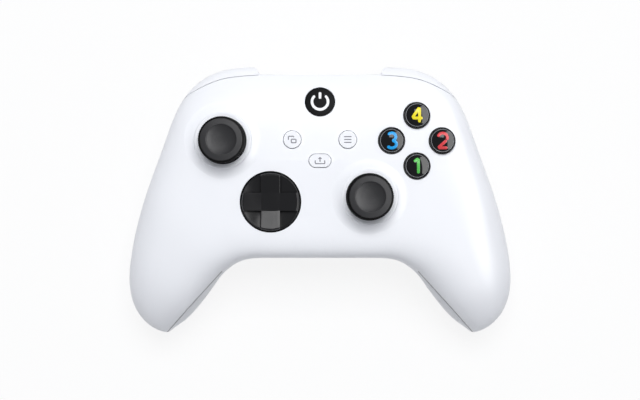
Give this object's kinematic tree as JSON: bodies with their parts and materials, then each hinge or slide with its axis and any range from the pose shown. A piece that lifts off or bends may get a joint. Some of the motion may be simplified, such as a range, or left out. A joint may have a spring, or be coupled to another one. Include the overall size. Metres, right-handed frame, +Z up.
{
  "type": "game controller",
  "caption": "Wireless hand-held game controller with tilting thumb sticks, a rocking direction pad, domed face buttons, hinged triggers and bumpers, and a battery bay in the back.",
  "frame": {"origin": "below the middle of the outline, on the surface the controller rests on", "axes": "+X to the player's right, +Y away from the player, +Z up out of the face"},
  "size_m": [0.1528, 0.1061, 0.0574],
  "materials": {
    "white_plastic": "fine satin, near white",
    "grip_plastic": "white with a fine dot texture",
    "black_plastic": "satin black",
    "gloss_black": "polished black",
    "dark_plastic": "moulded, plain",
    "board": "coated circuit board",
    "sheet_metal": "stamped sheet",
    "turned_steel": "turned",
    "weight_metal": "sintered",
    "contact_metal": "plated",
    "cell_sleeve": "plain printed sleeve",
    "membrane_rubber": "soft",
    "light_guide": "clear moulded light guide"
  },
  "bodies": {
    "casing": {"front_shell": "white_plastic", "rear_shell": "white_plastic", "bridge_plate": "white_plastic", "left_grip_panel": "grip_plastic", "right_grip_panel": "grip_plastic", "frame": "dark_plastic", "battery_tray": "dark_plastic", "dpad_post": "dark_plastic", "headset_jack": "dark_plastic", "expansion_port": "dark_plastic", "board_link": "dark_plastic", "left_stick_sensors": "dark_plastic", "right_stick_sensors": "dark_plastic", "front_board": "board", "rear_board": "board", "usb_socket": "sheet_metal", "left_stick_module": "sheet_metal", "right_stick_module": "sheet_metal", "left_rumble_motor": "sheet_metal", "right_rumble_motor": "sheet_metal", "left_pulse_motor": "sheet_metal", "right_pulse_motor": "sheet_metal", "casing_screws": "turned_steel", "trigger_pins": "turned_steel", "trigger_springs": "turned_steel", "battery_contacts": "contact_metal", "near_battery_cell": "cell_sleeve", "far_battery_cell": "cell_sleeve", "button_membrane": "membrane_rubber", "light_ring": "light_guide"},
    "battery_door": {"battery_door": "white_plastic"},
    "left_bumper": {"left_bumper": "white_plastic"},
    "left_trigger": {"left_trigger": "white_plastic"},
    "right_bumper": {"right_bumper": "white_plastic"},
    "right_trigger": {"right_trigger": "white_plastic"},
    "left_stick_frame": {"left_stick_gimbal": "dark_plastic"},
    "left_stick_block": {"left_stick_pivot": "dark_plastic"},
    "left_stick": {"left_stick_cap": "black_plastic", "left_stick_shaft": "turned_steel"},
    "left_stick_arch": {"left_stick_yoke": "dark_plastic"},
    "right_stick_frame": {"right_stick_gimbal": "dark_plastic"},
    "right_stick_block": {"right_stick_pivot": "dark_plastic"},
    "right_stick": {"right_stick_cap": "black_plastic", "right_stick_shaft": "turned_steel"},
    "right_stick_arch": {"right_stick_yoke": "dark_plastic"},
    "dpad_spring": {"dpad_spring": "sheet_metal"},
    "dpad": {"dpad": "black_plastic"},
    "bottom_face_button": {"bottom_face_button": "gloss_black"},
    "right_face_button": {"right_face_button": "gloss_black"},
    "left_face_button": {"left_face_button": "gloss_black"},
    "top_face_button": {"top_face_button": "gloss_black"},
    "view_button": {"view_button": "white_plastic"},
    "menu_button": {"menu_button": "white_plastic"},
    "share_button": {"share_button": "white_plastic"},
    "guide_button": {"guide_button": "gloss_black"},
    "pair_button": {"pair_button": "black_plastic"},
    "left_rumble_weight": {"left_rumble_weight": "weight_metal"},
    "left_pulse_weight": {"left_pulse_weight": "weight_metal"},
    "right_rumble_weight": {"right_rumble_weight": "weight_metal"},
    "right_pulse_weight": {"right_pulse_weight": "weight_metal"}
  },
  "joints": [
    {"name": "battery_door_release", "type": "slide", "parent": "casing", "child": "battery_door", "axis": [0, 0, -1], "range_m": [0, 0.03]},
    {"name": "left_bumper_press", "type": "hinge", "parent": "casing", "child": "left_bumper", "pos_m": [-0.0245, 0.047, 0.033], "axis": [0, -1, 0], "range_deg": [0, 2.3], "stiffness_Nm_per_rad": 0.6, "springref_deg": -0.57},
    {"name": "left_trigger_pull", "type": "hinge", "parent": "casing", "child": "left_trigger", "pos_m": [0, 0.039, 0.0224], "axis": [-1, 0, 0], "range_deg": [0, 16], "stiffness_Nm_per_rad": 0.06, "springref_deg": -5.73},
    {"name": "right_bumper_press", "type": "hinge", "parent": "casing", "child": "right_bumper", "pos_m": [0.0245, 0.047, 0.033], "axis": [0, 1, 0], "range_deg": [0, 2.3], "stiffness_Nm_per_rad": 0.6, "springref_deg": -0.57},
    {"name": "right_trigger_pull", "type": "hinge", "parent": "casing", "child": "right_trigger", "pos_m": [0, 0.039, 0.0224], "axis": [-1, 0, 0], "range_deg": [0, 16], "stiffness_Nm_per_rad": 0.06, "springref_deg": -5.73},
    {"name": "left_stick_sideways", "type": "hinge", "parent": "casing", "child": "left_stick_frame", "pos_m": [-0.0374, 0.0236, 0.037], "axis": [0, 1, 0], "range_deg": [-18, 18], "stiffness_Nm_per_rad": 0.035},
    {"name": "left_stick_fore_aft", "type": "hinge", "parent": "left_stick_frame", "child": "left_stick_block", "pos_m": [-0.0374, 0.0236, 0.037], "axis": [1, 0, 0], "range_deg": [-18, 18], "stiffness_Nm_per_rad": 0.035},
    {"name": "left_stick_press", "type": "slide", "parent": "left_stick_block", "child": "left_stick", "axis": [0, 0, -1], "range_m": [0, 0.0005], "stiffness_N_per_m": 4000, "springref_m": -0.0001},
    {"name": "left_stick_arch_turn", "type": "hinge", "parent": "casing", "child": "left_stick_arch", "pos_m": [-0.0374, 0.0236, 0.037], "axis": [1, 0, 0], "range_deg": [-18, 18]},
    {"name": "right_stick_sideways", "type": "hinge", "parent": "casing", "child": "right_stick_frame", "pos_m": [0.0191, 0.0019, 0.037], "axis": [0, 1, 0], "range_deg": [-18, 18], "stiffness_Nm_per_rad": 0.035},
    {"name": "right_stick_fore_aft", "type": "hinge", "parent": "right_stick_frame", "child": "right_stick_block", "pos_m": [0.0191, 0.0019, 0.037], "axis": [1, 0, 0], "range_deg": [-18, 18], "stiffness_Nm_per_rad": 0.035},
    {"name": "right_stick_press", "type": "slide", "parent": "right_stick_block", "child": "right_stick", "axis": [0, 0, -1], "range_m": [0, 0.0005], "stiffness_N_per_m": 4000, "springref_m": -0.0001},
    {"name": "right_stick_arch_turn", "type": "hinge", "parent": "casing", "child": "right_stick_arch", "pos_m": [0.0191, 0.0019, 0.037], "axis": [1, 0, 0], "range_deg": [-18, 18]},
    {"name": "dpad_fore_aft", "type": "hinge", "parent": "casing", "child": "dpad_spring", "pos_m": [-0.0191, 0, 0.0389], "axis": [1, 0, 0], "range_deg": [-3, 3], "stiffness_Nm_per_rad": 0.18},
    {"name": "dpad_sideways", "type": "hinge", "parent": "dpad_spring", "child": "dpad", "pos_m": [-0.0191, 0, 0.0389], "axis": [0, 1, 0], "range_deg": [-3, 3], "stiffness_Nm_per_rad": 0.18},
    {"name": "bottom_face_button_press", "type": "slide", "parent": "casing", "child": "bottom_face_button", "axis": [0, 0, -1], "range_m": [0, 0.0012], "stiffness_N_per_m": 500, "springref_m": -0.0003},
    {"name": "right_face_button_press", "type": "slide", "parent": "casing", "child": "right_face_button", "axis": [0, 0, -1], "range_m": [0, 0.0012], "stiffness_N_per_m": 500, "springref_m": -0.0003},
    {"name": "left_face_button_press", "type": "slide", "parent": "casing", "child": "left_face_button", "axis": [0, 0, -1], "range_m": [0, 0.0012], "stiffness_N_per_m": 500, "springref_m": -0.0003},
    {"name": "top_face_button_press", "type": "slide", "parent": "casing", "child": "top_face_button", "axis": [0, 0, -1], "range_m": [0, 0.0012], "stiffness_N_per_m": 500, "springref_m": -0.0003},
    {"name": "view_button_press", "type": "slide", "parent": "casing", "child": "view_button", "axis": [0, 0, -1], "range_m": [0, 0.0005], "stiffness_N_per_m": 1500, "springref_m": -0.0001},
    {"name": "menu_button_press", "type": "slide", "parent": "casing", "child": "menu_button", "axis": [0, 0, -1], "range_m": [0, 0.0005], "stiffness_N_per_m": 1500, "springref_m": -0.0001},
    {"name": "share_button_press", "type": "slide", "parent": "casing", "child": "share_button", "axis": [0, 0, -1], "range_m": [0, 0.0005], "stiffness_N_per_m": 1500, "springref_m": -0.0001},
    {"name": "guide_button_press", "type": "slide", "parent": "casing", "child": "guide_button", "axis": [0, -0.225, -0.9744], "range_m": [0, 0.0004], "stiffness_N_per_m": 2000, "springref_m": -0.0001},
    {"name": "pair_button_press", "type": "slide", "parent": "casing", "child": "pair_button", "axis": [0, -1, 0], "range_m": [0, 0.0004], "stiffness_N_per_m": 2000, "springref_m": -0.0001},
    {"name": "left_rumble_spin", "type": "hinge", "parent": "casing", "child": "left_rumble_weight", "pos_m": [-0.059, -0.02, 0.0172], "axis": [0, 1, 0], "continuous": true},
    {"name": "left_pulse_spin", "type": "hinge", "parent": "casing", "child": "left_pulse_weight", "pos_m": [-0.044, 0.0268, 0.0179], "axis": [1, 0, 0], "continuous": true},
    {"name": "right_rumble_spin", "type": "hinge", "parent": "casing", "child": "right_rumble_weight", "pos_m": [0.059, -0.02, 0.0172], "axis": [0, 1, 0], "continuous": true},
    {"name": "right_pulse_spin", "type": "hinge", "parent": "casing", "child": "right_pulse_weight", "pos_m": [0.044, 0.0268, 0.0179], "axis": [1, 0, 0], "continuous": true}
  ],
  "couplings": [
    {"joint": "left_stick_arch_turn", "follows": "left_stick_fore_aft", "ratio": 1},
    {"joint": "right_stick_arch_turn", "follows": "right_stick_fore_aft", "ratio": 1}
  ]
}
